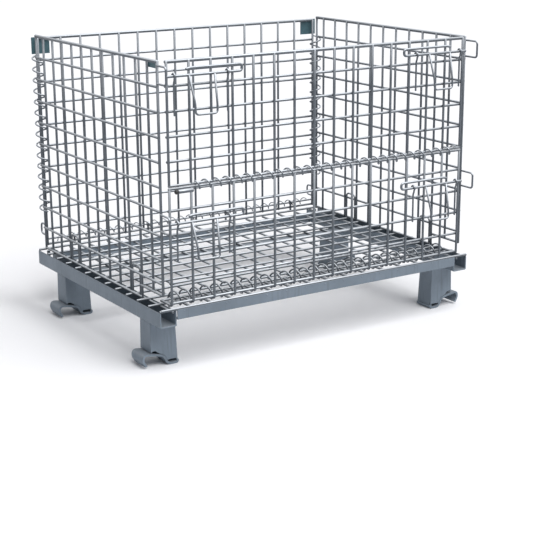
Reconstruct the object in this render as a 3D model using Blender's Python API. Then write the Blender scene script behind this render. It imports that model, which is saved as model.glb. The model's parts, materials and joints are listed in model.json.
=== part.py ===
"""Folding wire mesh container on pressed steel feet, upright, in metres with +Z up and the front at -Y."""

import math

import bmesh
import bpy
from mathutils import Matrix, Vector

# Driving sizes, in metres
MESH = 0.050  # spacing of the wires
WIRE = 0.0040  # square stand-in for one round wire
LAYER = 0.0046  # from one layer of wires to the one welded over it
RIM = 0.0042  # height of a rim that binds both layers
GAP = 0.0003  # left between pieces that touch

DECK_Z = 0.1335  # upper wires of the deck
DECK_REACH = 0.405  # half length of the upper deck wires
DECK_END = 0.300  # half depth of the deck

SIDE_TOP = 0.638
SIDE_X = 0.3872  # inner layer of a side panel
SIDE_FRONT = -0.288
SIDE_REAR = 0.292
SIDE_BOTTOM = 0.138
SIDE_STEP = (-0.192, 0.163)  # in front of this, the lower edge rises over the front coil
SWING_X = 0.385
SWING_Y = 0.292
LAY_LEFT = (0.3997, 0.1303)  # distance from the middle, height
LAY_RIGHT = (0.4043, 0.1349)

BACK_Y = 0.301  # front layer of the back panel, in line with its hinge
BACK_TOP = 0.630
BACK_BOTTOM = 0.141
BACK_HINGE_Z = 0.1566
BACK_END_X = 0.382

FRONT_Y = -0.298  # outer layer of the front panels
FRONT_EDGE = 0.375
FRONT_HINGE_Y = -0.253
FRONT_HINGE_Z = 0.142
GATE_HINGE_Y = -0.300
GATE_HINGE_Z = 0.387
HINGE_WIRE = 0.003  # each hinged wire lies this far from the gate's hinge line

COIL_PITCH = 0.025
COIL_STEPS = 10  # corners in one turn of a coil

CORNER_COIL = (0.386, 0.2935)
CORNER_RADIUS = 0.0138
CORNER_WIRE = 0.0017
CORNER_SPAN = (0.228, 0.590)
CORNER_PHASE = 0.0215

GATE_COIL_RADIUS = 0.0088
GATE_COIL_WIRE = 0.0015
GATE_COIL_SPAN = (-0.321, 0.362)
FRONT_COIL_RADIUS = 0.0153
FRONT_COIL_WIRE = 0.0017
FRONT_COIL_SPAN = (-0.362, 0.362)

LEG_OUTER = 0.403
LEG_INNER = 0.341
LEG_TOP = 0.0977
LEG_DEPTH = 0.050
LEG_FRONT_Y = -0.229
LEG_REAR_Y = 0.185
FOOT_HALF = 0.0023  # half the thickness of the foot strip

BOLT_Y = -0.3035
BOLT_RADIUS = 0.0028
BOLT_TIP = 0.380
BOLT_BEND = 0.206
BOLT_HEIGHTS = {"lower": 0.313, "upper": 0.608}
BAIL_MIDDLE = 0.301
GUIDE_PLACES = {"inner": 0.240, "outer": 0.362}

SIDES = {"left": -1, "right": 1}


def clear_scene():
    for obj in list(bpy.data.objects):
        bpy.data.objects.remove(obj, do_unlink=True)


def material(name, color, metallic, roughness):
    made = bpy.data.materials.new(name)
    made.use_nodes = True
    shader = made.node_tree.nodes["Principled BSDF"]
    shader.inputs["Base Color"].default_value = (*color, 1)
    shader.inputs["Metallic"].default_value = metallic
    shader.inputs["Roughness"].default_value = roughness
    return made


def finish(name, bm, finish_of, hidden=False):
    """Turn a bmesh into an object with outward faces."""
    bmesh.ops.recalc_face_normals(bm, faces=bm.faces)
    mesh = bpy.data.meshes.new(name)
    bm.to_mesh(mesh)
    bm.free()
    obj = bpy.data.objects.new(name, mesh)
    bpy.context.scene.collection.objects.link(obj)
    mesh.materials.append(finish_of)
    if hidden:
        obj.hide_render = True
        obj.display_type = "WIRE"
    return obj


def add_box(bm, low, high):
    """A box between two corners, added to a bmesh."""
    low, high = Vector(low), Vector(high)
    size = high - low
    matrix = Matrix.Translation((low + high) / 2) @ Matrix.Diagonal((*size, 1))
    bmesh.ops.create_cube(bm, size=1, matrix=matrix)


def box_between(centre_a, centre_b, width, depth):
    """Corners of a bar along one axis, with its width and depth across the other two in their order."""
    half = [0.0, 0.0, 0.0]
    run = max(range(3), key=lambda i: abs(centre_a[i] - centre_b[i]))
    across = [i for i in range(3) if i != run]
    half[across[0]], half[across[1]] = width / 2, depth / 2
    low = [min(centre_a[i], centre_b[i]) - half[i] for i in range(3)]
    high = [max(centre_a[i], centre_b[i]) + half[i] for i in range(3)]
    return low, high


def bars(name, runs, finish_of, hidden=False):
    """Straight bars that don't touch one another, as one mesh. A run is (end, end, width, depth)."""
    bm = bmesh.new()
    for run in runs:
        add_box(bm, *box_between(*run))
    return finish(name, bm, finish_of, hidden)


def plain_box(name, low, high, finish_of):
    bm = bmesh.new()
    add_box(bm, low, high)
    return finish(name, bm, finish_of)


def boolean(target, tool, operation):
    modifier = target.modifiers.new(tool.name, "BOOLEAN")
    modifier.operation = operation
    modifier.solver = "EXACT"
    modifier.object = tool


def outline_along_y(name, outline, low, high, finish_of):
    """A flat outline of (x, z) points, extruded from low to high along Y."""
    bm = bmesh.new()
    face = bm.faces.new([bm.verts.new((x, low, z)) for x, z in outline])
    made = bmesh.ops.extrude_face_region(bm, geom=[face])
    moved = [part for part in made["geom"] if isinstance(part, bmesh.types.BMVert)]
    bmesh.ops.translate(bm, verts=moved, vec=(0, high - low, 0))
    return finish(name, bm, finish_of)


def sweep(name, points, radius, sides, finish_of):
    """A rod of round section that follows the points, with flat ends."""
    points = [Vector(p) for p in points]
    bm = bmesh.new()
    rings = []
    normal = None
    for i, point in enumerate(points):
        before = points[max(i - 1, 0)]
        after = points[min(i + 1, len(points) - 1)]
        inward = (point - before).normalized() if i else (after - point).normalized()
        outward = (after - point).normalized() if i < len(points) - 1 else inward
        tangent = (inward + outward).normalized()
        if normal is None:
            normal = tangent.orthogonal().normalized()
        normal = (normal - tangent * normal.dot(tangent)).normalized()
        other = tangent.cross(normal)
        bend = inward.cross(outward)
        stretch = 1 / max(tangent.dot(inward), 0.5)
        ring = []
        for k in range(sides):
            angle = 2 * math.pi * (k + 0.5) / sides
            offset = (normal * math.cos(angle) + other * math.sin(angle)) * radius
            if bend.length > 1e-6:
                across = bend.normalized().cross(tangent)
                offset += across * offset.dot(across) * (stretch - 1)
            ring.append(bm.verts.new(point + offset))
        rings.append(ring)
    for ring, following in zip(rings, rings[1:]):
        for k in range(sides):
            n = (k + 1) % sides
            bm.faces.new((ring[k], ring[n], following[n], following[k]))
    bm.faces.new(rings[0])
    bm.faces.new(rings[-1])
    return finish(name, bm, finish_of)


def mesh_lines(first, last):
    """Places from first to last, one mesh apart."""
    count = round(abs(last - first) / MESH)
    step = MESH if last > first else -MESH
    return [first + step * k for k in range(count + 1)]


def channels(metal):
    """Two rails of U section, open upwards, that carry the deck."""
    outer, inner, wall = 0.405, 0.367, 0.0025
    low, high = 0.098, 0.131
    for side, sign in SIDES.items():
        outline = [
            (inner, high),
            (inner, low),
            (outer, low),
            (outer, high),
            (outer - wall, high),
            (outer - wall, low + wall),
            (inner + wall, low + wall),
            (inner + wall, high),
        ]
        outline = [(sign * x, z) for x, z in outline]
        outline_along_y(f"channel_{side}", outline, -0.301, 0.305, metal)


def cross_rails(metal):
    """Front and rear rails and the bar under the middle of the deck, between the channels."""
    reach = 0.367 - GAP
    plain_box("front_rail", (-reach, -0.3048, 0.113), (reach, -0.3023, 0.134), metal)
    plain_box("rear_rail", (-reach, 0.2995, 0.098), (reach, 0.302, 0.120), metal)
    plain_box("support_bar", (-reach, 0.086, 0.118), (reach, 0.114, 0.1255), metal)


def foot_line():
    """Middle line of a foot strip as (x, z): flat foot, rise, arch and the lip that curls down outside."""
    return [
        (0.339, 0.0023),
        (0.358, 0.0023),
        (0.365, 0.0050),
        (0.370, 0.0130),
        (0.375, 0.0205),
        (0.384, 0.0243),
        (0.396, 0.0270),
        (0.408, 0.0300),
        (0.416, 0.0290),
        (0.4210, 0.0240),
        (0.4217, 0.0180),
        (0.4180, 0.0095),
        (0.4120, 0.0016),
    ]


def offset_line(line, distance):
    """The line moved to its left by a distance."""
    moved = []
    for i, (x, z) in enumerate(line):
        x0, z0 = line[max(i - 1, 0)]
        x1, z1 = line[min(i + 1, len(line) - 1)]
        along = Vector((x1 - x0, z1 - z0)).normalized()
        moved.append((x - along.y * distance, z + along.x * distance))
    return moved


def legs_and_feet(metal):
    line = foot_line()
    strip = offset_line(line, FOOT_HALF) + offset_line(line, -FOOT_HALF)[::-1]
    above = [p for p in offset_line(line, FOOT_HALF + GAP) if p[0] < LEG_OUTER - 0.004]
    leg = [(LEG_INNER, LEG_TOP), *above, (LEG_OUTER, 0.0325), (LEG_OUTER, LEG_TOP)]
    for end, middle in (("front", LEG_FRONT_Y), ("rear", LEG_REAR_Y)):
        low, high = middle - LEG_DEPTH / 2, middle + LEG_DEPTH / 2
        for side, sign in SIDES.items():
            outline = [(sign * x, z) for x, z in leg]
            outline_along_y(f"leg_{end}_{side}", outline, low, high, metal)
            outline = [(sign * x, z) for x, z in strip]
            outline_along_y(f"foot_{end}_{side}", outline, low, high, metal)


def deck(metal):
    """Deck mesh: cross wires over the wires that run front to back."""
    lower_z = DECK_Z - LAYER
    both_z = (DECK_Z + lower_z) / 2
    both = LAYER + WIRE + 0.0001
    cross = [
        ((-DECK_REACH, y, DECK_Z), (DECK_REACH, y, DECK_Z), WIRE, WIRE)
        for y in mesh_lines(-DECK_END, DECK_END)
    ]
    long_wires = [
        ((x, -DECK_END, lower_z), (x, DECK_END, lower_z), WIRE, WIRE)
        for x in mesh_lines(-FRONT_EDGE + MESH, FRONT_EDGE - MESH)
    ]
    for x in (-FRONT_EDGE, FRONT_EDGE):
        end = DECK_END + 0.001
        long_wires.append(((x, -end, both_z), (x, end, both_z), WIRE, both))
    binders = [
        ((-0.366, y, both_z), (0.366, y, both_z), RIM, both + 0.0002)
        for y in (-DECK_END, DECK_END)
    ]
    mesh = bars("deck_mesh", cross, metal)
    boolean(mesh, bars("deck_long_wires", long_wires, metal, hidden=True), "UNION")
    boolean(mesh, bars("deck_binders", binders, metal, hidden=True), "UNION")


def hinge_lugs(metal):
    """Four lugs on the deck's rear wire, whose eyes hold the hinge wire of the back panel."""
    turn = Matrix.Rotation(math.pi / 2, 4, "Y")
    thick, outer, bore = 0.004, 0.006, 0.0028
    for index, x in enumerate((-0.3125, -0.1125, 0.1125, 0.3125)):
        centre = Matrix.Translation((x, BACK_Y, BACK_HINGE_Z))
        bm = bmesh.new()
        bmesh.ops.create_cone(
            bm,
            cap_ends=True,
            segments=12,
            radius1=outer,
            radius2=outer,
            depth=thick,
            matrix=centre @ turn,
        )
        lug = finish(f"hinge_lug_{index + 1}", bm, metal)
        bm = bmesh.new()
        foot = DECK_Z + WIRE / 2 + GAP
        add_box(
            bm,
            (x - thick / 2 + 0.0002, BACK_Y - 0.002, foot),
            (x + thick / 2 - 0.0002, BACK_Y + 0.002, BACK_HINGE_Z - 0.004),
        )
        boolean(lug, finish(f"lug_post_{index + 1}", bm, metal, hidden=True), "UNION")
        bm = bmesh.new()
        bmesh.ops.create_cone(
            bm,
            cap_ends=True,
            segments=12,
            radius1=bore,
            radius2=bore,
            depth=4 * thick,
            matrix=centre @ turn,
        )
        boolean(lug, finish(f"lug_bore_{index + 1}", bm, metal, hidden=True), "DIFFERENCE")


def coil_along_x(name, span, centre, radius, wire, at_half_turn, metal):
    """A spring hinge along X. Its wire is at at_half_turn, modulo the pitch, where it faces -Y."""
    start = at_half_turn - COIL_PITCH / 2
    first = math.ceil((span[0] - start) / COIL_PITCH * COIL_STEPS)
    last = math.floor((span[1] - start) / COIL_PITCH * COIL_STEPS)
    points = []
    for step in range(first, last + 1):
        angle = 2 * math.pi * step / COIL_STEPS
        x = start + COIL_PITCH * step / COIL_STEPS
        y = centre[0] + radius * math.cos(angle)
        z = centre[1] + radius * math.sin(angle)
        points.append((x, y, z))
    return sweep(name, points, wire, 4, metal)


def corner_coils(metal):
    """Spring hinges up the rear corners, right-handed on one side and left-handed on the other."""
    for side, sign in SIDES.items():
        first = math.ceil((CORNER_PHASE - CORNER_SPAN[1]) / COIL_PITCH * COIL_STEPS)
        last = math.floor((CORNER_PHASE - CORNER_SPAN[0]) / COIL_PITCH * COIL_STEPS)
        points = []
        for step in range(first, last + 1):
            angle = 2 * math.pi * step / COIL_STEPS
            x = sign * (CORNER_COIL[0] - CORNER_RADIUS * math.cos(angle))
            y = CORNER_COIL[1] + CORNER_RADIUS * math.sin(angle)
            points.append((x, y, CORNER_PHASE - COIL_PITCH * step / COIL_STEPS))
        sweep(f"corner_coil_{side}", points, CORNER_WIRE, 4, metal)


def back_panel(metal):
    rear_y = BACK_Y + LAYER
    both_y = (BACK_Y + rear_y) / 2
    both = LAYER + WIRE + 0.0001
    upright = [
        ((x, BACK_Y, BACK_BOTTOM), (x, BACK_Y, BACK_TOP), WIRE, WIRE)
        for x in mesh_lines(-FRONT_EDGE + 2 * MESH, FRONT_EDGE - 2 * MESH)
    ]
    for sign in SIDES.values():
        x = sign * BACK_END_X
        upright.append(((x, BACK_Y, BACK_BOTTOM), (x, BACK_Y, BACK_TOP), WIRE, WIRE))
        x = sign * (FRONT_EDGE - MESH)
        upright.append(((x, both_y, BACK_BOTTOM), (x, both_y, BACK_TOP), WIRE, both))
    reach = 0.380
    level = [
        ((-reach, rear_y, z), (reach, rear_y, z), WIRE, WIRE)
        for z in mesh_lines(BACK_TOP - MESH, 0.180)
    ]
    lowest = BACK_BOTTOM + 0.002
    level.append(((-reach, rear_y, lowest), (reach, rear_y, lowest), WIRE, WIRE))
    rim_reach = BACK_END_X + WIRE / 2 + 0.0001
    rim = ((-rim_reach, both_y, BACK_TOP), (rim_reach, both_y, BACK_TOP), both + 0.0002, RIM)
    level.append(rim)
    mesh = bars("back_mesh", upright, metal)
    boolean(mesh, bars("back_level_wires", level, metal, hidden=True), "UNION")
    bm = bmesh.new()
    turn = Matrix.Rotation(math.pi / 2, 4, "Y")
    bmesh.ops.create_cone(
        bm,
        cap_ends=True,
        segments=12,
        radius1=0.0023,
        radius2=0.0023,
        depth=2 * rim_reach - 0.0012,
        matrix=Matrix.Translation((0, BACK_Y, BACK_HINGE_Z)) @ turn,
    )
    boolean(mesh, finish("back_hinge_wire", bm, metal, hidden=True), "UNION")


def back_fittings(metal, plate_metal):
    """Corner plates behind the top corners, and the hooks low on the rear corners."""
    face = BACK_Y + LAYER + WIRE / 2 + 0.0001 + GAP
    for side, sign in SIDES.items():
        ends = sorted((sign * 0.350, sign * 0.394))
        low, high = (ends[0], face, 0.594), (ends[1], face + 0.0025, 0.632)
        plain_box(f"corner_plate_{side}", low, high, plate_metal)
        x, root, tip = sign * 0.3845, BACK_Y + WIRE / 2 + GAP, 0.330 - 0.0020
        hook = [
            (x, root, 0.192),
            (x, tip - 0.006, 0.192),
            (x, tip, 0.186),
            (x, tip, 0.172),
            (x, tip - 0.006, 0.166),
            (x, root, 0.166),
        ]
        sweep(f"rear_hook_{side}", hook, 0.0020, 4, metal)


def side_panel(side, sign, metal):
    outer_x = SIDE_X + LAYER
    both_x = (SIDE_X + outer_x) / 2
    step_y, step_z = SIDE_STEP
    both = LAYER + WIRE + 0.0001
    upright = [
        ((sign * SIDE_X, y, SIDE_BOTTOM), (sign * SIDE_X, y, SIDE_TOP), WIRE, WIRE)
        for y in mesh_lines(0.258, step_y)
    ]
    x, y = sign * SIDE_X, step_y - MESH
    upright.append(((x, y, step_z), (x, y, SIDE_TOP), WIRE, WIRE))
    x = sign * both_x
    upright.append(((x, SIDE_REAR, SIDE_BOTTOM), (x, SIDE_REAR, SIDE_TOP), WIRE, WIRE))
    upright.append(((x, SIDE_FRONT, step_z), (x, SIDE_FRONT, SIDE_TOP), both, RIM))
    level = [
        ((sign * outer_x, SIDE_REAR, z), (sign * outer_x, SIDE_FRONT, z), WIRE, WIRE)
        for z in mesh_lines(SIDE_TOP - MESH, SIDE_BOTTOM + MESH)
    ]
    rear, front = SIDE_REAR + 0.0022, SIDE_FRONT - 0.0022
    edges = (
        (rear, front, SIDE_TOP),
        (rear, step_y - 0.0022, SIDE_BOTTOM),
        (step_y + 0.0022, front, step_z),
    )
    for start, end, z in edges:
        level.append(((x, start, z), (x, end, z), both + 0.0002, WIRE))
    mesh = bars(f"side_mesh_{side}", upright, metal)
    boolean(mesh, bars(f"side_level_{side}", level, metal, hidden=True), "UNION")


def side_fittings(side, sign, metal):
    """Keepers for the bolts, the inverted U stops and the pin that the panel swings on."""
    x = sign * (SIDE_X + LAYER)
    radius = 0.0017
    root, tip = SIDE_FRONT - 0.0022 - GAP, -0.330 + radius
    for level, low, high in (("lower", 0.296, 0.335), ("upper", 0.592, 0.632)):
        keeper = [
            (x, root, high - radius),
            (x, tip + 0.005, high - radius),
            (x, tip, high - radius - 0.005),
            (x, tip, low + radius + 0.005),
            (x, tip + 0.005, low + radius),
            (x, root, low + radius),
        ]
        sweep(f"keeper_{level}_{side}", keeper, radius, 4, metal)
    x = sign * SIDE_X
    foot = SIDE_BOTTOM + WIRE / 2 + GAP
    for end, middle in (("front", -0.167), ("rear", 0.133)):
        stop = [
            (x, middle - 0.018, foot),
            (x, middle - 0.018, 0.195),
            (x, middle - 0.011, 0.2015),
            (x, middle + 0.011, 0.2015),
            (x, middle + 0.018, 0.195),
            (x, middle + 0.018, foot),
        ]
        sweep(f"stop_{end}_{side}", stop, 0.0019, 4, metal)
    pin = [(sign * SWING_X, SWING_Y, 0.101), (sign * SWING_X, SWING_Y, 0.1307)]
    sweep(f"swing_pin_{side}", pin, 0.004, 8, metal)


def front_lower(metal):
    inner_y = FRONT_Y + LAYER
    both_y = (FRONT_Y + inner_y) / 2
    both = LAYER + WIRE + 0.0001
    top = GATE_HINGE_Z - HINGE_WIRE
    low = FRONT_HINGE_Z
    inside = mesh_lines(-FRONT_EDGE + MESH, FRONT_EDGE - MESH)
    upright = [((x, FRONT_Y, low), (x, FRONT_Y, top), WIRE, WIRE) for x in inside]
    for x in (-FRONT_EDGE, FRONT_EDGE):
        upright.append(((x, both_y, low), (x, both_y, top), WIRE, both))
    reach = FRONT_EDGE + 0.0025
    hinge = ((-reach, FRONT_HINGE_Y, low), (reach, FRONT_HINGE_Y, low), RIM, RIM)
    upright.append(hinge)
    level = [
        ((-reach, inner_y, z), (reach, inner_y, z), WIRE, WIRE)
        for z in mesh_lines(0.338, 0.188)
    ]
    for z in (top, low):
        level.append(((-reach, FRONT_Y, z), (reach, FRONT_Y, z), RIM, RIM))
    flange = [
        ((x, FRONT_Y, low), (x, FRONT_HINGE_Y, low), WIRE, WIRE)
        for x in mesh_lines(-FRONT_EDGE, FRONT_EDGE)
    ]
    mesh = bars("front_mesh", upright, metal)
    boolean(mesh, bars("front_level_wires", level, metal, hidden=True), "UNION")
    boolean(mesh, bars("front_flange_wires", flange, metal, hidden=True), "UNION")


def gate(metal):
    inner_y = FRONT_Y + LAYER
    both_y = (FRONT_Y + inner_y) / 2
    both = LAYER + WIRE + 0.0001
    low = GATE_HINGE_Z + HINGE_WIRE
    inside = mesh_lines(-FRONT_EDGE + MESH, FRONT_EDGE - MESH)
    upright = [((x, FRONT_Y, low), (x, FRONT_Y, SIDE_TOP), WIRE, WIRE) for x in inside]
    for x in (-FRONT_EDGE, FRONT_EDGE):
        upright.append(((x, both_y, low), (x, both_y, SIDE_TOP), WIRE, both))
    reach = FRONT_EDGE + 0.0025
    level = [
        ((-reach, inner_y, z), (reach, inner_y, z), WIRE, WIRE)
        for z in mesh_lines(SIDE_TOP - MESH, 0.438)
    ]
    level.append(((-reach, FRONT_Y, low), (reach, FRONT_Y, low), RIM, RIM))
    rim = ((-reach, both_y, SIDE_TOP), (reach, both_y, SIDE_TOP), both + 0.0002, WIRE)
    level.append(rim)
    mesh = bars("gate_mesh", upright, metal)
    boolean(mesh, bars("gate_level_wires", level, metal, hidden=True), "UNION")


def gate_sleeve(metal, rubber):
    """The short sleeve and its end cap beside the gate's coil."""
    y, z = -0.311, 0.380
    sweep("coil_sleeve", [(-0.362, y, z), (-0.3273, y, z)], 0.0045, 8, metal)
    sweep("sleeve_cap", [(-0.369, y, z), (-0.3623, y, z)], 0.0052, 8, rubber)


def latch(level, side, sign, metal):
    """One bolt with its crooked handle, the bail that hangs from it, and its two guides."""
    z = BOLT_HEIGHTS[level]
    name = f"{level}_{side}"
    route = [
        (BOLT_TIP, 0),
        (BOLT_BEND + 0.006, 0),
        (BOLT_BEND, 0.005),
        (BOLT_BEND + 0.003, 0.0115),
        (BOLT_BEND + 0.010, 0.014),
        (0.326, 0.014),
        (0.334, 0.0115),
    ]
    bolt = [(sign * x, BOLT_Y, z + rise) for x, rise in route]
    sweep(f"bolt_{name}", bolt, BOLT_RADIUS, 6, metal)
    top, knee = 0.029, 0.025
    hang = [
        (-top, -0.0055, 0.000),
        (-knee, -0.0190, -0.050),
        (-knee, -0.0215, -0.057),
        (-knee, -0.0215, -0.071),
        (-knee + 0.005, -0.0215, -0.076),
    ]
    other_leg = [(-dx, dy, dz) for dx, dy, dz in reversed(hang)]
    middle = sign * BAIL_MIDDLE
    bail = [(middle + dx, BOLT_Y + dy, z + dz) for dx, dy, dz in hang + other_leg]
    sweep(f"bail_{name}", bail, 0.0020, 6, metal)
    for place, x in GUIDE_PLACES.items():
        ring, wire = 0.0056, 0.0016
        guide = [(sign * x, BOLT_Y, z - 0.078), (sign * x, BOLT_Y, z - 0.014)]
        guide.append((sign * x, BOLT_Y - 0.003, z - 0.008))
        for step in range(9):
            angle = math.radians(240 - 33 * step)
            y = BOLT_Y + ring * math.cos(angle)
            guide.append((sign * x, y, z + ring * math.sin(angle)))
        sweep(f"guide_{place}_{name}", guide, wire, 4, metal)


def pivot(name, place, parent, pieces):
    """An empty on a joint's axis that carries the pieces it moves."""
    empty = bpy.data.objects.new(name, None)
    bpy.context.scene.collection.objects.link(empty)
    empty.parent = parent
    empty.matrix_parent_inverse = Matrix.Translation(-Vector(parent["place"])) if parent else Matrix()
    empty.location = place
    empty["place"] = place
    for piece in pieces:
        obj = bpy.data.objects[piece]
        obj.parent = empty
        obj.matrix_parent_inverse = Matrix.Translation(-Vector(place))
    return empty


def place_pivots():
    """Hang every moving piece from the axis it turns or slides on."""
    back = ["back_mesh"]
    for side, sign in SIDES.items():
        back += [f"corner_coil_{side}", f"corner_plate_{side}", f"rear_hook_{side}"]
        lay = LAY_LEFT if side == "left" else LAY_RIGHT
        panel = [f"side_mesh_{side}", f"keeper_lower_{side}", f"keeper_upper_{side}"]
        panel += [f"stop_front_{side}", f"stop_rear_{side}"]
        if side == "left":
            panel.append("corner_tag")
        swing_place = (sign * SWING_X, SWING_Y, 0.115)
        swing = pivot(f"swing_axis_{side}", swing_place, None, [f"swing_pin_{side}"])
        pivot(f"lay_axis_{side}", (sign * lay[0], 0.0, lay[1]), swing, panel)
    pivot("back_axis", (0.0, BACK_Y, BACK_HINGE_Z), None, back)
    fronts = {}
    places = {
        "lower": (0.0, FRONT_HINGE_Y, FRONT_HINGE_Z),
        "upper": (0.0, GATE_HINGE_Y, GATE_HINGE_Z),
    }
    meshes = {"lower": ["front_mesh", "gate_coil", "coil_sleeve", "sleeve_cap"], "upper": ["gate_mesh"]}
    for level, place in places.items():
        guides = [f"guide_{end}_{level}_{side}" for end in GUIDE_PLACES for side in SIDES]
        fronts[level] = pivot(f"front_axis_{level}", place, fronts.get("lower"), meshes[level] + guides)
        for side, sign in SIDES.items():
            name = f"{level}_{side}"
            middle = (sign * BAIL_MIDDLE, BOLT_Y, BOLT_HEIGHTS[level])
            bolt = pivot(f"bolt_axis_{name}", middle, fronts[level], [f"bolt_{name}"])
            pivot(f"bail_axis_{name}", middle, bolt, [f"bail_{name}"])


def main():
    clear_scene()
    zinc = material("zinc wire", (0.40, 0.42, 0.45), 0.9, 0.42)
    pressed = material("pressed steel", (0.33, 0.37, 0.42), 0.8, 0.45)
    blue = material("painted plate", (0.10, 0.26, 0.34), 0.1, 0.5)
    black = material("black cap", (0.02, 0.02, 0.02), 0.0, 0.6)
    channels(pressed)
    cross_rails(pressed)
    legs_and_feet(pressed)
    deck(zinc)
    hinge_lugs(zinc)
    front_axis = (FRONT_HINGE_Y, FRONT_HINGE_Z)
    front_coil = (FRONT_COIL_SPAN, front_axis, FRONT_COIL_RADIUS, FRONT_COIL_WIRE)
    coil_along_x("front_coil", *front_coil, 0.01115, zinc)
    gate_axis = (GATE_HINGE_Y, GATE_HINGE_Z)
    gate_coil = (GATE_COIL_SPAN, gate_axis, GATE_COIL_RADIUS, GATE_COIL_WIRE)
    coil_along_x("gate_coil", *gate_coil, 0.0125, zinc)
    corner_coils(zinc)
    back_panel(zinc)
    back_fittings(zinc, blue)
    for side, sign in SIDES.items():
        side_panel(side, sign, zinc)
        side_fittings(side, sign, zinc)
    plain_box("corner_tag", (-0.3848, -0.278, 0.622), (-0.3806, -0.232, 0.6335), blue)
    front_lower(zinc)
    gate(zinc)
    gate_sleeve(zinc, black)
    for level in BOLT_HEIGHTS:
        for side, sign in SIDES.items():
            latch(level, side, sign, zinc)
    place_pivots()


main()
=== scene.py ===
"""Looks of the folding wire mesh container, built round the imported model. Metres, +Z up, gate at -Y."""

import json
import math

import bmesh
import bpy
from mathutils import Euler, Matrix, Vector


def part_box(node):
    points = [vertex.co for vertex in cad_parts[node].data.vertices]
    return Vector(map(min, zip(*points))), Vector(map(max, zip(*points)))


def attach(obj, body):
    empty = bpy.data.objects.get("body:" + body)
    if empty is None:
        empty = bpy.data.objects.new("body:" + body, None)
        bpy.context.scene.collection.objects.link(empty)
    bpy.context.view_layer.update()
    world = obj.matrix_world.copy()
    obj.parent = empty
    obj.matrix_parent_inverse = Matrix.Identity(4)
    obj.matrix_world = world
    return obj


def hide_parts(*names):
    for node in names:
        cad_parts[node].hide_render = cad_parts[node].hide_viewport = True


bl_info = {
    "name": "Wire mesh container",
    "version": (1, 0, 0),
    "blender": (4, 5, 0),
    "location": "View3D > Sidebar > Container",
    "description": "Round wire, spring hinges, bolts and pressed feet of a folding wire mesh container",
    "category": "Object",
}

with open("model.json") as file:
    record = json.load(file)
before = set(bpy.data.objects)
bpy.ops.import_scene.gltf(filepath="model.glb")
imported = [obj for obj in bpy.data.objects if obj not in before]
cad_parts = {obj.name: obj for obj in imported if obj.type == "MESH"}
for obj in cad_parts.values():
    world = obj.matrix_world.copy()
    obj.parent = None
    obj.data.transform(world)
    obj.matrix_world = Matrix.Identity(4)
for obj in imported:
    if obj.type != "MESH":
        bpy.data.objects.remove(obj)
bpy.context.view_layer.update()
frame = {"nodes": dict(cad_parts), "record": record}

SIDES = {"left": -1, "right": 1}
MESH = 0.050  # spacing of the wires
LAYER = 0.0046  # from one layer of wires to the one welded over it
COIL_PITCH = 0.025
COIL_STEPS = 20  # corners in one turn of a coil
CORNER_COIL = (0.386, 0.2935)  # line of a corner coil: distance from the middle, depth
CORNER_PHASE = 0.0215
END_UPRIGHT = 0.382  # last upright of the back
FRONT_EDGE = 0.375  # last uprights of the deck, the front and the gate
FRONT_Y = -0.298  # outer layer of the front and the gate
LEG_SPAN = (0.341, 0.403)  # inner and outer face of a leg, from the middle
LEG_TOP = 0.0977
SIDE_X = 0.3872  # inner layer of a side
BOLT_BODIES = {"lower": "front", "upper": "gate"}
BAIL_MIDDLE = 0.301
GUIDE_PLACES = {"inner": 0.240, "outer": 0.362}

HINGES = {row["name"]: row.get("pos_m") for row in frame["record"]["behaviour"]["joints"]}
_, BACK_Y, BACK_HINGE_Z = HINGES["back_fold"]
_, FRONT_HINGE_Y, FRONT_HINGE_Z = HINGES["front_fold"]
_, GATE_HINGE_Y, GATE_HINGE_Z = HINGES["gate_drop"]
_, BOLT_Y, LOWER_BOLT_Z = HINGES["bail_lift_lower_left"]
BOLT_HEIGHTS = {"lower": LOWER_BOLT_Z, "upper": HINGES["bail_lift_upper_left"][2]}


def span(node):
    """Middle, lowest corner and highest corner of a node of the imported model."""
    low, high = (Vector(corner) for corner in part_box(node))
    return (low + high) / 2, low, high


def mesh_lines(first, last):
    """Places from first to last, one mesh apart."""
    count = round(abs(last - first) / MESH)
    step = MESH if last > first else -MESH
    return [first + step * k for k in range(count + 1)]


def rounded(points, bend, steps=5):
    """The points as a smooth route: each corner becomes a curve that starts a bend's length from it."""
    points = [Vector(p) for p in points]
    route = [points[0]]
    for before, corner, after in zip(points, points[1:], points[2:]):
        reach_in = min(bend, (corner - before).length * 0.48)
        reach_out = min(bend, (after - corner).length * 0.48)
        start = corner + (before - corner).normalized() * reach_in
        end = corner + (after - corner).normalized() * reach_out
        for k in range(steps + 1):
            t = k / steps
            route.append(start * (1 - t) ** 2 + corner * 2 * t * (1 - t) + end * t * t)
    route.append(points[-1])
    return route


def add_rod(bm, route, radius, around=10):
    """A round rod along a route, with softly rounded ends."""
    route = [Vector(p) for p in route]
    first = (route[1] - route[0]).normalized()
    last = (route[-1] - route[-2]).normalized()
    tip = radius * 0.3
    centres = [(route[0], radius * 0.7), (route[0] + first * tip, radius)]
    centres += [(p, radius) for p in route[1:-1]]
    centres += [(route[-1] - last * tip, radius), (route[-1], radius * 0.7)]
    rings, normal = [], first.orthogonal().normalized()
    for i, (point, size) in enumerate(centres):
        before = centres[max(i - 1, 0)][0]
        after = centres[min(i + 1, len(centres) - 1)][0]
        along = (after - before).normalized()
        normal = (normal - along * normal.dot(along)).normalized()
        other = along.cross(normal)
        ring = []
        for k in range(around):
            angle = 2 * math.pi * k / around
            out = normal * math.cos(angle) + other * math.sin(angle)
            ring.append(bm.verts.new(point + out * size))
        rings.append(ring)
    for ring, following in zip(rings, rings[1:]):
        for k in range(around):
            n = (k + 1) % around
            bm.faces.new((ring[k], ring[n], following[n], following[k])).smooth = True
    bm.faces.new(rings[0][::-1])
    bm.faces.new(rings[-1])


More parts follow.
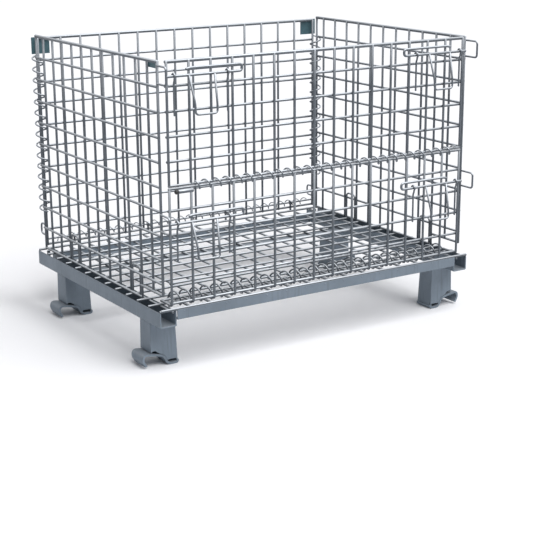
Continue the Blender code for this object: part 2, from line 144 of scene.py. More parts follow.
def add_object(name, bm, finish):
    bmesh.ops.recalc_face_normals(bm, faces=bm.faces)
    mesh = bpy.data.meshes.new(name)
    bm.to_mesh(mesh)
    bm.free()
    mesh.materials.append(finish)
    obj = bpy.data.objects.new(name, mesh)
    bpy.context.scene.collection.objects.link(obj)
    return obj


def rods(name, runs, finish, around=10):
    """One piece made of several rods. A run is (route, radius)."""
    bm = bmesh.new()
    for route, radius in runs:
        add_rod(bm, route, radius, around)
    return add_object(name, bm, finish)


def sheet_piece(name, outline, low, high, finish, edge, along="Y", taper=0.0):
    """A pressed steel piece: an outline run from low to high along Y, or along X, with softened edges.

    The outline's points are (x, z), or (y, z) along X. A taper narrows the run by that share at the top."""
    bm = bmesh.new()
    bottom, top = min(z for _, z in outline), max(z for _, z in outline)
    middle, half = (low + high) / 2, (high - low) / 2
    ends = []
    for sign in (-1, 1):
        end = []
        for across, z in outline:
            run = middle + sign * half * (1 - taper * (z - bottom) / (top - bottom))
            end.append(bm.verts.new((across, run, z) if along == "Y" else (run, across, z)))
        bm.faces.new(end)
        ends.append(end)
    for k in range(len(outline)):
        bm.faces.new((ends[0][k - 1], ends[0][k], ends[1][k], ends[1][k - 1]))
    obj = add_object(name, bm, finish)
    bevel = obj.modifiers.new("soft edges", "BEVEL")
    bevel.width = edge
    bevel.segments = 3
    bevel.limit_method = "ANGLE"
    bevel.angle_limit = math.radians(40)
    obj.data.shade_smooth()
    obj.data.set_sharp_from_angle(angle=math.radians(35))
    return obj


def settle(obj, body, slot, *nodes):
    """Let a piece ride on its body and stand for its nodes. The slot is not used."""
    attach(obj, body)
    if nodes:
        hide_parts(*nodes)


def socket(group, name, kind, default=None, is_input=True):
    made = group.interface.new_socket(
        name=name, in_out="INPUT" if is_input else "OUTPUT", socket_type=kind
    )
    if default is not None:
        made.default_value = default


def link(tree, source, target):
    tree.links.new(source, target)


def highlight_and_weathering_group():
    """Node group for plated and painted steel: clouds, streaks, fine grain, and dust with a painted
    highlight where it faces up.
    """
    group = bpy.data.node_groups.new("Weathered steel", "ShaderNodeTree")
    for name, default in (("Tone", (0.5, 0.5, 0.5, 1)), ("Dark tone", (0.2, 0.2, 0.2, 1))):
        socket(group, name, "NodeSocketColor", default)
    # Light bluish tone for up-facing faces: dust, with a painted highlight standing for light from above.
    socket(group, "Dust tone", "NodeSocketColor", (0.76, 0.80, 0.85, 1))
    for name, default in (("Cloud scale", 18.0), ("Cloud amount", 0.5), ("Roughness", 0.45)):
        socket(group, name, "NodeSocketFloat", default)
    socket(group, "Dust amount", "NodeSocketFloat", 0.3)
    socket(group, "Streak amount", "NodeSocketFloat", 0.0)
    socket(group, "Color", "NodeSocketColor", None, False)
    socket(group, "Roughness", "NodeSocketFloat", None, False)
    socket(group, "Height", "NodeSocketFloat", None, False)
    nodes = group.nodes
    entry = nodes.new("NodeGroupInput")
    leave = nodes.new("NodeGroupOutput")
    place = nodes.new("ShaderNodeTexCoord")
    cloud = nodes.new("ShaderNodeTexNoise")
    cloud.inputs["Detail"].default_value = 6.0
    cloud.inputs["Roughness"].default_value = 0.65
    link(group, place.outputs["Object"], cloud.inputs["Vector"])
    link(group, entry.outputs["Cloud scale"], cloud.inputs["Scale"])
    grain = nodes.new("ShaderNodeTexNoise")
    grain.inputs["Scale"].default_value = 900.0
    grain.inputs["Detail"].default_value = 3.0
    link(group, place.outputs["Object"], grain.inputs["Vector"])
    spread = nodes.new("ShaderNodeMapRange")
    spread.inputs["From Min"].default_value = 0.35
    spread.inputs["From Max"].default_value = 0.68
    link(group, cloud.outputs["Fac"], spread.inputs["Value"])
    amount = nodes.new("ShaderNodeMath")
    amount.operation = "MULTIPLY"
    link(group, spread.outputs["Result"], amount.inputs[0])
    link(group, entry.outputs["Cloud amount"], amount.inputs[1])
    stretch = nodes.new("ShaderNodeMapping")
    stretch.inputs["Scale"].default_value = (1.0, 1.0, 0.07)
    link(group, place.outputs["Object"], stretch.inputs["Vector"])
    streak = nodes.new("ShaderNodeTexNoise")
    streak.inputs["Scale"].default_value = 170.0
    streak.inputs["Detail"].default_value = 4.0
    link(group, stretch.outputs["Vector"], streak.inputs["Vector"])
    lines = nodes.new("ShaderNodeMapRange")
    lines.inputs["From Min"].default_value = 0.48
    lines.inputs["From Max"].default_value = 0.75
    link(group, streak.outputs["Fac"], lines.inputs["Value"])
    marks = nodes.new("ShaderNodeMath")
    marks.operation = "MULTIPLY"
    link(group, lines.outputs["Result"], marks.inputs[0])
    link(group, entry.outputs["Streak amount"], marks.inputs[1])
    shade = nodes.new("ShaderNodeMath")
    shade.operation = "MAXIMUM"
    link(group, amount.outputs["Value"], shade.inputs[0])
    link(group, marks.outputs["Value"], shade.inputs[1])
    tone = nodes.new("ShaderNodeMix")
    tone.data_type = "RGBA"
    link(group, shade.outputs["Value"], tone.inputs["Factor"])
    link(group, entry.outputs["Tone"], tone.inputs["A"])
    link(group, entry.outputs["Dark tone"], tone.inputs["B"])
    # Faces that point up are lightened: dust, and a painted highlight as if lit from above.
    facing = nodes.new("ShaderNodeNewGeometry")
    split = nodes.new("ShaderNodeSeparateXYZ")
    link(group, facing.outputs["Normal"], split.inputs["Vector"])
    upward = nodes.new("ShaderNodeMapRange")
    upward.inputs["From Min"].default_value = 0.15
    upward.inputs["From Max"].default_value = 0.65
    link(group, split.outputs["Z"], upward.inputs["Value"])
    top_highlight_and_dust_share = nodes.new("ShaderNodeMath")
    top_highlight_and_dust_share.operation = "MULTIPLY"
    link(group, upward.outputs["Result"], top_highlight_and_dust_share.inputs[0])
    link(group, entry.outputs["Dust amount"], top_highlight_and_dust_share.inputs[1])
    top_highlight_and_dust_mix = nodes.new("ShaderNodeMix")
    top_highlight_and_dust_mix.data_type = "RGBA"
    link(group, top_highlight_and_dust_share.outputs["Value"], top_highlight_and_dust_mix.inputs["Factor"])
    link(group, tone.outputs["Result"], top_highlight_and_dust_mix.inputs["A"])
    link(group, entry.outputs["Dust tone"], top_highlight_and_dust_mix.inputs["B"])
    link(group, top_highlight_and_dust_mix.outputs["Result"], leave.inputs["Color"])
    rough = nodes.new("ShaderNodeMath")
    rough.operation = "MULTIPLY_ADD"
    rough.inputs[1].default_value = 0.22
    link(group, cloud.outputs["Fac"], rough.inputs[0])
    link(group, entry.outputs["Roughness"], rough.inputs[2])
    link(group, rough.outputs["Value"], leave.inputs["Roughness"])
    link(group, grain.outputs["Fac"], leave.inputs["Height"])
    return group


def steel(name, group, tone, dark, metallic, roughness, clouds, dust, streaks, grain=0.15):
    """A steel finish: the weathering group drives colour, with dust and a painted highlight on up-facing
    faces, roughness and a fine bump.
    """
    made = bpy.data.materials.new(name)
    made.use_nodes = True
    tree = made.node_tree
    shader = tree.nodes["Principled BSDF"]
    shader.inputs["Metallic"].default_value = metallic
    surface = tree.nodes.new("ShaderNodeGroup")
    surface.node_tree = group
    surface.inputs["Tone"].default_value = (*tone, 1)
    surface.inputs["Dark tone"].default_value = (*dark, 1)
    surface.inputs["Cloud scale"].default_value = clouds
    surface.inputs["Roughness"].default_value = roughness
    surface.inputs["Dust amount"].default_value = dust
    surface.inputs["Streak amount"].default_value = streaks
    bump = tree.nodes.new("ShaderNodeBump")
    bump.inputs["Strength"].default_value = grain
    bump.inputs["Distance"].default_value = 0.0002
    link(tree, surface.outputs["Color"], shader.inputs["Base Color"])
    link(tree, surface.outputs["Roughness"], shader.inputs["Roughness"])
    link(tree, surface.outputs["Height"], bump.inputs["Height"])
    link(tree, bump.outputs["Normal"], shader.inputs["Normal"])
    return made


def finishes():
    """The container's finishes by slot, made once."""
    slots = ("zinc_wire", "pressed_steel", "painted_plate", "black_cap")
    names = {slot: f"highlight_and_weathering_{slot}" for slot in slots}
    if all(name in bpy.data.materials for name in names.values()):
        return {slot: bpy.data.materials[name] for slot, name in names.items()}
    colours = bpy.context.scene.container_finish
    wire, pressed, plate = tuple(colours.wire), tuple(colours.pressed), tuple(colours.plate)
    rubber = (0.03, 0.03, 0.03)
    group = highlight_and_weathering_group()

    def darker(tone, share):
        return tuple(c * share for c in tone)

    # On the wire the high amount paints bright highlights on the tops of the wires, as if lit from above.
    wire_marks = {"clouds": 26.0, "dust": 0.90, "streaks": 0.0}
    sheet_marks = {"clouds": 11.0, "dust": 0.22, "streaks": 0.7}
    plate_marks = {"clouds": 30.0, "dust": 0.20, "streaks": 0.3}
    cap_marks = {"clouds": 40.0, "dust": 0.05, "streaks": 0.0}
    steel(names["zinc_wire"], group, wire, darker(wire, 0.55), 0.30, 0.34, **wire_marks)
    steel(names["pressed_steel"], group, pressed, darker(pressed, 0.62), 0.25, 0.38, **sheet_marks)
    steel(names["painted_plate"], group, plate, darker(plate, 0.6), 0.05, 0.38, **plate_marks)
    steel(names["black_cap"], group, rubber, darker(rubber, 0.4), 0.0, 0.5, **cap_marks)
    return {slot: bpy.data.materials[name] for slot, name in names.items()}


class ContainerWire(bpy.types.PropertyGroup):
    """Thickness of the rods and wires."""

    mesh_radius: bpy.props.FloatProperty(
        name="Mesh wire", description="Radius of the mesh wires", default=0.0027, unit="LENGTH"
    )
    rail_radius: bpy.props.FloatProperty(
        name="Top rail", description="Radius of the rails and edge rods", default=0.0036, unit="LENGTH"
    )
    coil_radius: bpy.props.FloatProperty(
        name="Spring wire", description="Radius of the spring hinges' wire", default=0.0019, unit="LENGTH"
    )
    loop_radius: bpy.props.FloatProperty(
        name="Loop wire", description="Radius of the bails, keepers and stops", default=0.0022, unit="LENGTH"
    )
    around: bpy.props.IntProperty(
        name="Facets", description="Faces round each wire", default=10, min=6, max=24
    )


class ContainerFinish(bpy.types.PropertyGroup):
    """Colours of the container."""

    wire: bpy.props.FloatVectorProperty(
        name="Zinc wire", description="Colour of the wire", default=(0.125, 0.143, 0.165), subtype="COLOR"
    )
    pressed: bpy.props.FloatVectorProperty(
        name="Pressed steel",
        description="Colour of the rails, legs and feet",
        default=(0.180, 0.222, 0.268),
        subtype="COLOR",
    )
    plate: bpy.props.FloatVectorProperty(
        name="Plates",
        description="Colour of the painted plates",
        default=(0.055, 0.125, 0.150),
        subtype="COLOR",
    )


class ContainerStage(bpy.types.PropertyGroup):
    """Floor, lights and camera."""

    floor_half: bpy.props.FloatProperty(
        name="Floor", description="Half width of the floor", default=30.0, unit="LENGTH"
    )
    lens: bpy.props.FloatProperty(
        name="Lens", description="Focal length of the camera in millimetres", default=89.4
    )
    sky_strength: bpy.props.FloatProperty(
        name="Sky", description="Brightness of the white surroundings", default=0.36
    )
    sun_strength: bpy.props.FloatProperty(
        name="Overhead light", description="Strength of the wide soft light from above", default=3.0
    )
    sun_angle: bpy.props.FloatProperty(
        name="Softness",
        description="Width of the light from above, as seen from the container",
        default=math.radians(55),
        subtype="ANGLE",
    )


def panel_radii(context):
    sizes = context.scene.container_wire
    return sizes.mesh_radius, sizes.rail_radius, sizes.around


class ContainerDeck(bpy.types.Operator):
    """Deck of welded round wire."""

    bl_idname = "container.deck"
    bl_label = "Deck"

    def execute(self, context):
        wire, _, around = panel_radii(context)
        _, low, high = span("deck_mesh")
        upper, lower = high.z - 0.002, high.z - 0.002 - LAYER
        edge = 0.300
        runs = []
        for y in mesh_lines(-edge, edge):
            runs.append(([(low.x, y, upper), (high.x, y, upper)], wire))
        for x in mesh_lines(-FRONT_EDGE, FRONT_EDGE):
            runs.append(([(x, low.y, lower), (x, high.y, lower)], wire))
        deck = rods("deck_wires", runs, finishes()["zinc_wire"], around)
        settle(deck, "base", "zinc_wire", "deck_mesh")
        return {"FINISHED"}


class ContainerBack(bpy.types.Operator):
    """Back panel with its top rail and hinge wire."""

    bl_idname = "container.back"
    bl_label = "Back panel"

    def execute(self, context):
        wire, rail, around = panel_radii(context)
        _, low, high = span("back_mesh")
        front, rear = BACK_Y, BACK_Y + LAYER
        ends, top = END_UPRIGHT, 0.630
        inside = FRONT_EDGE - MESH
        runs = []
        for x in [-ends, *mesh_lines(-inside, inside), ends]:
            runs.append(([(x, front, low.z), (x, front, high.z - 0.002)], wire))
        for z in [low.z + 0.002, *mesh_lines(0.180, top - MESH)]:
            runs.append(([(-ends, rear, z), (ends, rear, z)], wire))
        rail_y = (front + rear) / 2
        runs.append(([(low.x, rail_y, top), (high.x, rail_y, top)], rail))
        runs.append(([(-ends, front, BACK_HINGE_Z), (ends, front, BACK_HINGE_Z)], 0.0022))
        back = rods("back_wires", runs, finishes()["zinc_wire"], around)
        settle(back, "back", "zinc_wire", "back_mesh")
        return {"FINISHED"}


class ContainerSides(bpy.types.Operator):
    """Both side panels, with their front edge rods and top rails."""

    bl_idname = "container.sides"
    bl_label = "Side panels"

    def execute(self, context):
        wire, rail, around = panel_radii(context)
        edge = rail * 0.8
        for side, sign in SIDES.items():
            middle, low, high = span(f"side_mesh_{side}")
            inner, outer = sign * SIDE_X, sign * (SIDE_X + LAYER)
            runs = []
            front_y, step_y, step_z = -0.288, -0.192, 0.163
            for y in mesh_lines(0.258, step_y):
                runs.append(([(inner, y, low.z + 0.001), (inner, y, high.z - 0.003)], wire))
            y = step_y - MESH
            runs.append(([(inner, y, step_z), (inner, y, high.z - 0.003)], wire))
            for z in mesh_lines(0.188, 0.588):
                runs.append(([(outer, 0.294, z), (outer, front_y, z)], wire))
            x = middle.x
            runs.append(([(x, step_y - 0.002, 0.138), (x, high.y, 0.138)], wire))
            runs.append(([(x, front_y, step_z), (x, step_y + 0.002, step_z)], wire))
            runs.append(([(x, 0.292, low.z), (x, 0.292, high.z - 0.002)], wire))
            runs.append(([(x, front_y, step_z - 0.002), (x, front_y, high.z - 0.001)], edge))
            runs.append(([(x, low.y + 0.0005, 0.6364), (x, high.y, 0.6364)], rail))
            piece = rods(f"side_wires_{side}", runs, finishes()["zinc_wire"], around)
            settle(piece, f"{side}_side", "zinc_wire", f"side_mesh_{side}")
        return {"FINISHED"}


class ContainerFronts(bpy.types.Operator):
    """Lower front with its flange, and the drop gate over it."""

    bl_idname = "container.fronts"
    bl_label = "Front and gate"

    def execute(self, context):
        wire, rail, around = panel_radii(context)
        outer, inner = FRONT_Y, FRONT_Y + LAYER
        hinge_y, hinge_z = FRONT_HINGE_Y, FRONT_HINGE_Z
        _, low, high = span("front_mesh")
        reach, top = high.x, high.z - 0.0021
        runs = []
        for x in mesh_lines(-FRONT_EDGE, FRONT_EDGE):
            route = [(x, outer, top), (x, outer, hinge_z), (x, hinge_y, hinge_z)]
            runs.append((rounded(route, 0.005), wire))
        for z in mesh_lines(0.188, 0.338):
            runs.append(([(-reach, inner, z), (reach, inner, z)], wire))
        for y, z in ((outer, top), (hinge_y, hinge_z), (outer + 0.002, hinge_z + 0.004)):
            runs.append(([(-reach, y, z), (reach, y, z)], wire))
        front = rods("front_wires", runs, finishes()["zinc_wire"], around)
        settle(front, "front", "zinc_wire", "front_mesh")
        _, low, high = span("gate_mesh")
        runs = []
        bottom = low.z + 0.0021
        for x in mesh_lines(-FRONT_EDGE, FRONT_EDGE):
            runs.append(([(x, outer, bottom), (x, outer, high.z - 0.002)], wire))
        for z in mesh_lines(0.438, 0.588):
            runs.append(([(-reach, inner, z), (reach, inner, z)], wire))
        runs.append(([(-reach, outer, bottom), (reach, outer, bottom)], wire))
        rail_y = (outer + inner) / 2
        runs.append(([(-reach, rail_y, 0.636), (reach, rail_y, 0.636)], rail))
        gate = rods("gate_wires", runs, finishes()["zinc_wire"], around)
        settle(gate, "gate", "zinc_wire", "gate_mesh")
        return {"FINISHED"}


def coil_along_x(low_x, high_x, centre, radius, at_half_turn):
    """Route of a coil along X about centre (y, z). At at_half_turn, modulo the pitch, it faces -Y."""
    start = at_half_turn - COIL_PITCH / 2
    first = math.ceil((low_x - start) / COIL_PITCH * COIL_STEPS)
    last = math.floor((high_x - start) / COIL_PITCH * COIL_STEPS)
    route = []
    for k in range(first, last + 1):
        angle = 2 * math.pi * k / COIL_STEPS
        y = centre[0] + radius * math.cos(angle)
        route.append((start + COIL_PITCH * k / COIL_STEPS, y, centre[1] + radius * math.sin(angle)))
    return route


def corner_coil(low_z, high_z, sign, radius):
    """Route of a coil that winds down a rear corner, mirrored from one side to the other."""
    first = math.ceil((CORNER_PHASE - high_z) / COIL_PITCH * COIL_STEPS)
    last = math.floor((CORNER_PHASE - low_z) / COIL_PITCH * COIL_STEPS)
    route = []
    for k in range(first, last + 1):
        angle = 2 * math.pi * k / COIL_STEPS
        x = sign * (CORNER_COIL[0] - radius * math.cos(angle))
        y = CORNER_COIL[1] + radius * math.sin(angle)
        route.append((x, y, CORNER_PHASE - COIL_PITCH * k / COIL_STEPS))
    return route


class ContainerCoils(bpy.types.Operator):
    """Spring hinges: rear corners, gate, front and back."""

    bl_idname = "container.coils"
    bl_label = "Spring hinges"

    def execute(self, context):
        finish = finishes()["zinc_wire"]
        wire = context.scene.container_wire.coil_radius
        for side, sign in SIDES.items():
            _, low, high = span(f"corner_coil_{side}")
            route = corner_coil(low.z, high.z, sign, 0.0134)
            piece = rods(f"corner_spring_{side}", [(route, wire)], finish, 8)
            settle(piece, "back", "zinc_wire", f"corner_coil_{side}")
        along = (
            ("gate", "front", (GATE_HINGE_Y, GATE_HINGE_Z), 0.0088, wire * 0.88, 0.0125),
            ("front", "base", (FRONT_HINGE_Y, FRONT_HINGE_Z), 0.0153, wire, 0.01115),
        )
        for name, body, centre, radius, thick, at_half_turn in along:
            _, low, high = span(f"{name}_coil")
            route = coil_along_x(low.x + thick, high.x - thick, centre, radius, at_half_turn)
            piece = rods(f"{name}_spring", [(route, thick)], finish, 8)
            settle(piece, body, "zinc_wire", f"{name}_coil")
        reach, radius, thick = 0.360, 0.0073, 0.0013
        route = coil_along_x(-reach, reach, (BACK_Y, BACK_HINGE_Z), radius, COIL_PITCH / 2)
        settle(rods("back_spring", [(route, thick)], finish, 8), "base", "zinc_wire")
        return {"FINISHED"}


class ContainerLatches(bpy.types.Operator):
    """Sliding bolts with their bails and guides."""

    bl_idname = "container.latches"
    bl_label = "Bolts, bails and guides"

    def execute(self, context):
        finish = finishes()["zinc_wire"]
        loop = context.scene.container_wire.loop_radius
        y = BOLT_Y
        for level, z in BOLT_HEIGHTS.items():
            for side, sign in SIDES.items():
                name = f"{level}_{side}"
                route = [(0.380, 0), (0.206, 0), (0.206, 0.014), (0.327, 0.014), (0.3345, 0.0115)]
                bolt = rounded([(sign * x, y, z + rise) for x, rise in route], 0.0065)
                piece = rods(f"bolt_rod_{name}", [(bolt, 0.0028)], finish, 12)
                settle(piece, f"bolt_{name}", "zinc_wire", f"bolt_{name}")
                half = [(-0.029, -0.0055, 0.0), (-0.025, -0.0205, -0.055), (-0.025, -0.0215, -0.076)]
                other = [(-dx, dy, dz) for dx, dy, dz in reversed(half)]
                bail = [(sign * BAIL_MIDDLE + dx, y + dy, z + dz) for dx, dy, dz in half + other]
                piece = rods(f"bail_rod_{name}", [(rounded(bail, 0.008), loop)], finish)
                settle(piece, f"bail_{name}", "zinc_wire", f"bail_{name}")
                for place, x in GUIDE_PLACES.items():
                    guide = [(sign * x, y, z - 0.078), (sign * x, y, z - 0.014)]
                    guide.append((sign * x, y - 0.003, z - 0.008))
                    guide = rounded(guide, 0.004)
                    for step in range(18):
                        angle = math.radians(240 - 15.5 * step)
                        guide.append((sign * x, y + 0.0056 * math.cos(angle), z + 0.0056 * math.sin(angle)))
                    piece = rods(f"guide_rod_{place}_{name}", [(guide, 0.0020)], finish, 8)
                    settle(piece, BOLT_BODIES[level], "zinc_wire", f"guide_{place}_{name}")
        return {"FINISHED"}


class ContainerFittings(bpy.types.Operator):
    """Keepers, stops, rear hooks, coil sleeve and its cap."""

    bl_idname = "container.fittings"
    bl_label = "Keepers, stops and hooks"

    def execute(self, context):
        finish = finishes()
        wire = finish["zinc_wire"]
        loop = context.scene.container_wire.loop_radius
        for side, sign in SIDES.items():
            for level in BOLT_HEIGHTS:
                node = f"keeper_{level}_{side}"
                middle, low, high = span(node)
                root, tip = high.y, low.y + loop
                top, bottom = high.z - loop, low.z + loop
                route = [(middle.x, root, top), (middle.x, tip, top)]
                route += [(middle.x, tip, bottom), (middle.x, root, bottom)]
                piece = rods(f"keeper_loop_{level}_{side}", [(rounded(route, 0.007), loop)], wire)
                settle(piece, f"{side}_side", "zinc_wire", node)
            for end in ("front", "rear"):
                node = f"stop_{end}_{side}"
                middle, low, high = span(node)
                left, right, top = low.y + loop, high.y - loop, high.z - loop
                route = [(middle.x, left, low.z), (middle.x, left, top)]
                route += [(middle.x, right, top), (middle.x, right, low.z)]
                piece = rods(f"stop_loop_{end}_{side}", [(rounded(route, 0.010), loop)], wire)
                settle(piece, f"{side}_side", "zinc_wire", node)
            node = f"rear_hook_{side}"
            middle, low, high = span(node)
            tip, top, bottom = high.y - loop, high.z - loop, low.z + loop
            route = [(middle.x, low.y, top), (middle.x, tip, top)]
            route += [(middle.x, tip, bottom), (middle.x, low.y, bottom)]
            piece = rods(f"hook_loop_{side}", [(rounded(route, 0.009), loop)], wire)
            settle(piece, "back", "zinc_wire", node)
        for node, slot in (("coil_sleeve", "zinc_wire"), ("sleeve_cap", "black_cap")):
            middle, low, high = span(node)
            radius = (high.z - low.z) / 2
            ends = [(low.x, middle.y, middle.z), (high.x, middle.y, middle.z)]
            piece = rods(f"{node}_turned", [(ends, radius)], finish[slot], 20)
            settle(piece, "front", slot, node)
        return {"FINISHED"}


def rounded_outline(points, bend, steps=5):
    """A closed outline whose corners are softened."""
    count = len(points)
    made = []
    for i, corner in enumerate(points):
        before, corner = Vector(points[i - 1]), Vector(corner)
        after = Vector(points[(i + 1) % count])
        start = corner + (before - corner).normalized() * min(bend, (before - corner).length * 0.45)
        end = corner + (after - corner).normalized() * min(bend, (after - corner).length * 0.45)
        for k in range(steps + 1):
            t = k / steps
            made.append(tuple(start * (1 - t) ** 2 + corner * 2 * t * (1 - t) + end * t * t))
    return made


def offset_line(line, distance):
    """The line moved to its left by a distance."""
    moved = []
    for i, point in enumerate(line):
        before, after = Vector(line[max(i - 1, 0)]), Vector(line[min(i + 1, len(line) - 1)])
        along = (after - before).normalized()
        moved.append((point[0] - along.y * distance, point[1] + along.x * distance))
    return moved


def foot_route():
    """Middle line of a foot strip as (x, z), in smooth bends: turned-up end, foot, arch and outer lip."""
    corners = [
        (0.3410, 0.0085),
        (0.3410, 0.0023),
        (0.3640, 0.0023),
        (0.3740, 0.0225),
        (0.4050, 0.0286),
        (0.4193, 0.0298),
        (0.4226, 0.0180),
        (0.4148, 0.0050),
    ]
    route = rounded([(x, z, 0.0) for x, z in corners], 0.0085, 6)
    return [(p.x, p.y) for p in route]


def leg_outline(line, clear):
    """Outline of a leg as (x, z). Its lower edge follows the strip, with a slot at either end of it."""
    inner, outer, wall = LEG_SPAN[0], LEG_SPAN[1], 0.0026
    foot_slot, lip_slot = (0.0065, 0.0115, 0.3625), (0.0318, 0.0350, 0.3925)
    above = [p for p in offset_line(line, clear) if foot_slot[2] + 0.0015 < p[0] < lip_slot[2] - 0.001]
    outline = [(inner + 0.003, LEG_TOP), (inner, foot_slot[0]), (inner + wall, foot_slot[0])]
    outline += [(inner + wall, foot_slot[1]), (foot_slot[2], foot_slot[1]), *above]
    outline += [(lip_slot[2], lip_slot[1]), (outer - wall, lip_slot[1]), (outer - wall, lip_slot[0])]
    return outline + [(outer, lip_slot[0]), (outer, LEG_TOP)]


class ContainerFeet(bpy.types.Operator):
    """Pressed legs and the bent strips they stand on."""

    bl_idname = "container.feet"
    bl_label = "Legs and feet"

    def execute(self, context):
        finish = finishes()["pressed_steel"]
        line = foot_route()
        half = 0.0023
        strip = offset_line(line, half) + offset_line(line, -half)[::-1]
        leg = leg_outline(line, half + 0.0003)
        for end in ("front", "rear"):
            for side, sign in SIDES.items():
                _, low, high = span(f"leg_{end}_{side}")
                name = f"leg_shell_{end}_{side}"
                outline = [(sign * x, z) for x, z in leg]
                piece = sheet_piece(name, outline, low.y, high.y, finish, 0.0010, taper=0.12)
                settle(piece, "base", "pressed_steel", f"leg_{end}_{side}")
                outline = [(sign * x, z) for x, z in strip]
                piece = sheet_piece(f"foot_strip_{end}_{side}", outline, low.y, high.y, finish, 0.0008)
                settle(piece, "base", "pressed_steel", f"foot_{end}_{side}")
        return {"FINISHED"}


class ContainerRails(bpy.types.Operator):
    """Folded channels and cross rails under the deck, with softly bent edges."""

    bl_idname = "container.rails"
    bl_label = "Channels and rails"

    def execute(self, context):
        finish = finishes()["pressed_steel"]
        for side, sign in SIDES.items():
            _, low, high = span(f"channel_{side}")
            inner, outer, wall = 0.367, 0.405, 0.0025
            outline = [
                (inner, high.z),
                (inner, low.z),
                (outer, low.z),
                (outer, high.z),
                (outer - wall, high.z),
                (outer - wall, low.z + wall),
                (inner + wall, low.z + wall),
                (inner + wall, high.z),
            ]
            outline = rounded_outline([(sign * x, z) for x, z in outline], 0.003, 4)
            name = f"folded_channel_{side}"
            piece = sheet_piece(name, outline, low.y, high.y, finish, 0.0003)
            settle(piece, "base", "pressed_steel", f"channel_{side}")
        for node, inward in (("front_rail", 1), ("rear_rail", -1)):
            _, low, high = span(node)
            face, back = (low.y, high.y) if inward > 0 else (high.y, low.y)
            lip, sheet = face + inward * 0.014, inward * 0.0015
            outline = [(face, high.z), (face, low.z), (lip, low.z), (lip, low.z + 0.0015)]
            outline += [(face + sheet, low.z + 0.0015), (back, high.z - 0.004), (back, high.z)]
            piece = sheet_piece(f"{node}_angle", outline, low.x, high.x, finish, 0.0004, "X")
            settle(piece, "base", "pressed_steel", node)
        _, low, high = span("support_bar")
        rib, crown = 0.006, high.z - 0.0015
        outline = [(low.y, crown), (low.y, low.z), (high.y, low.z), (high.y, crown)]
        outline += [(high.y - rib, high.z), (low.y + rib, high.z)]
        piece = sheet_piece("support_bar_pressed", outline, low.x, high.x, finish, 0.0004, "X")
        settle(piece, "base", "pressed_steel", "support_bar")
        _, low, high = span("front_rail")
        edge, reach = 0.0026, 0.403
        height = high.z + edge * 0.6
        runs = [([(-reach, low.y + edge, height), (reach, low.y + edge, height)], edge)]
        settle(rods("front_edge_wire", runs, finishes()["zinc_wire"]), "base", "zinc_wire")
        welds, proud = high.z - 0.0045, low.y - 0.0009
        runs = [([(x, proud, welds), (x, high.y, welds)], 0.0016) for x in mesh_lines(-0.350, 0.350)]
        settle(rods("front_rail_welds", runs, finish, 8), "base", "pressed_steel")
        return {"FINISHED"}


class ContainerCarried(bpy.types.Operator):
    """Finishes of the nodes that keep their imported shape."""

    bl_idname = "container.carried"
    bl_label = "Carried nodes"

    def execute(self, context):
        finish = finishes()
        slots = {row["node"]: row["material_slot"] for row in frame["record"]["subparts"]}
        for name, node in frame["nodes"].items():
            node.data.materials.clear()
            node.data.materials.append(finish[slots[name]])
        return {"FINISHED"}


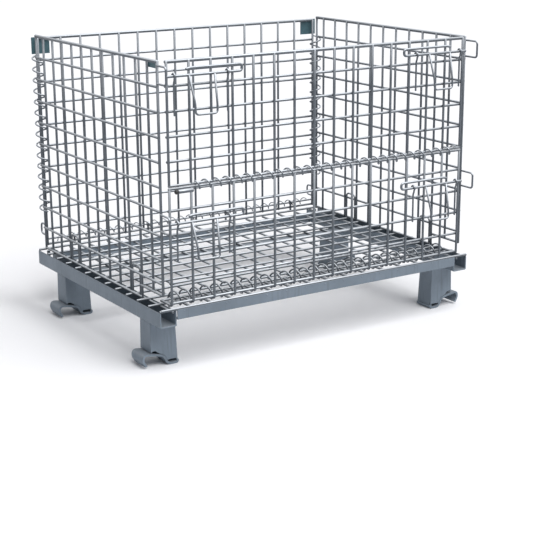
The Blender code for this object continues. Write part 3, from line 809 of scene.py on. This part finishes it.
class ContainerStageSet(bpy.types.Operator):
    """Pale floor, soft lights and the camera."""

    bl_idname = "container.stage"
    bl_label = "Stage"

    def execute(self, context):
        stage = context.scene.container_stage
        bm = bmesh.new()
        half = stage.floor_half
        bmesh.ops.create_grid(bm, x_segments=2, y_segments=2, size=half)
        pale = bpy.data.materials.new("pale floor")
        pale.use_nodes = True
        shader = pale.node_tree.nodes["Principled BSDF"]
        shader.inputs["Base Color"].default_value = (0.93, 0.93, 0.95, 1)
        shader.inputs["Roughness"].default_value = 0.9
        floor = add_object("floor", bm, pale)
        world = bpy.data.worlds.new("soft studio")
        world.use_nodes = True
        sky = world.node_tree.nodes["Background"]
        sky.inputs["Color"].default_value = (0.97, 0.98, 1.0, 1)
        sky.inputs["Strength"].default_value = stage.sky_strength
        context.scene.world = world
        context.scene.view_settings.view_transform = "Standard"
        light = bpy.data.lights.new("overhead", "SUN")
        light.energy = stage.sun_strength
        light.angle = stage.sun_angle
        lamp = bpy.data.objects.new("overhead", light)
        lamp.rotation_euler = Vector((-0.18, 0.60, -1.0)).to_track_quat("-Z", "Y").to_euler()
        context.scene.collection.objects.link(lamp)
        camera = bpy.data.cameras.new("camera")
        camera.lens = stage.lens
        camera.sensor_width = 36.0
        eye = bpy.data.objects.new("camera", camera)
        turn = Euler((math.radians(90 - 15.9), 0, math.radians(-32.96))).to_matrix()
        tilt = Matrix.Rotation(math.radians(-0.26), 3, "Z")
        eye.matrix_world = Matrix.Translation((-1.644, -2.640, 0.963)) @ (turn @ tilt).to_4x4()
        context.scene.collection.objects.link(eye)
        context.scene.camera = eye
        return {"FINISHED"}


class ContainerPanel(bpy.types.Panel):
    """Sidebar panel with the container's settings and steps."""

    bl_idname = "VIEW3D_PT_container"
    bl_label = "Wire mesh container"
    bl_space_type = "VIEW_3D"
    bl_region_type = "UI"
    bl_category = "Container"

    def draw(self, context):
        for settings in ("container_wire", "container_finish", "container_stage"):
            group = getattr(context.scene, settings)
            for name in group.__annotations__:
                self.layout.prop(group, name)
        for operator in OPERATORS:
            self.layout.operator(operator.bl_idname)


OPERATORS = (
    ContainerCarried,
    ContainerDeck,
    ContainerBack,
    ContainerSides,
    ContainerFronts,
    ContainerCoils,
    ContainerLatches,
    ContainerFittings,
    ContainerFeet,
    ContainerRails,
    ContainerStageSet,
)
SETTINGS = {
    "container_wire": ContainerWire,
    "container_finish": ContainerFinish,
    "container_stage": ContainerStage,
}


def register():
    for name, group in SETTINGS.items():
        bpy.utils.register_class(group)
        setattr(bpy.types.Scene, name, bpy.props.PointerProperty(type=group))
    for operator in OPERATORS:
        bpy.utils.register_class(operator)
    bpy.utils.register_class(ContainerPanel)


def unregister():
    bpy.utils.unregister_class(ContainerPanel)
    for operator in reversed(OPERATORS):
        bpy.utils.unregister_class(operator)
    for name, group in SETTINGS.items():
        delattr(bpy.types.Scene, name)
        bpy.utils.unregister_class(group)


def main():
    register()
    bpy.ops.container.carried()
    bpy.ops.container.deck()
    bpy.ops.container.back()
    bpy.ops.container.sides()
    bpy.ops.container.fronts()
    bpy.ops.container.coils()
    bpy.ops.container.latches()
    bpy.ops.container.fittings()
    bpy.ops.container.feet()
    bpy.ops.container.rails()
    bpy.ops.container.stage()


if __name__ == "__main__":
    main()
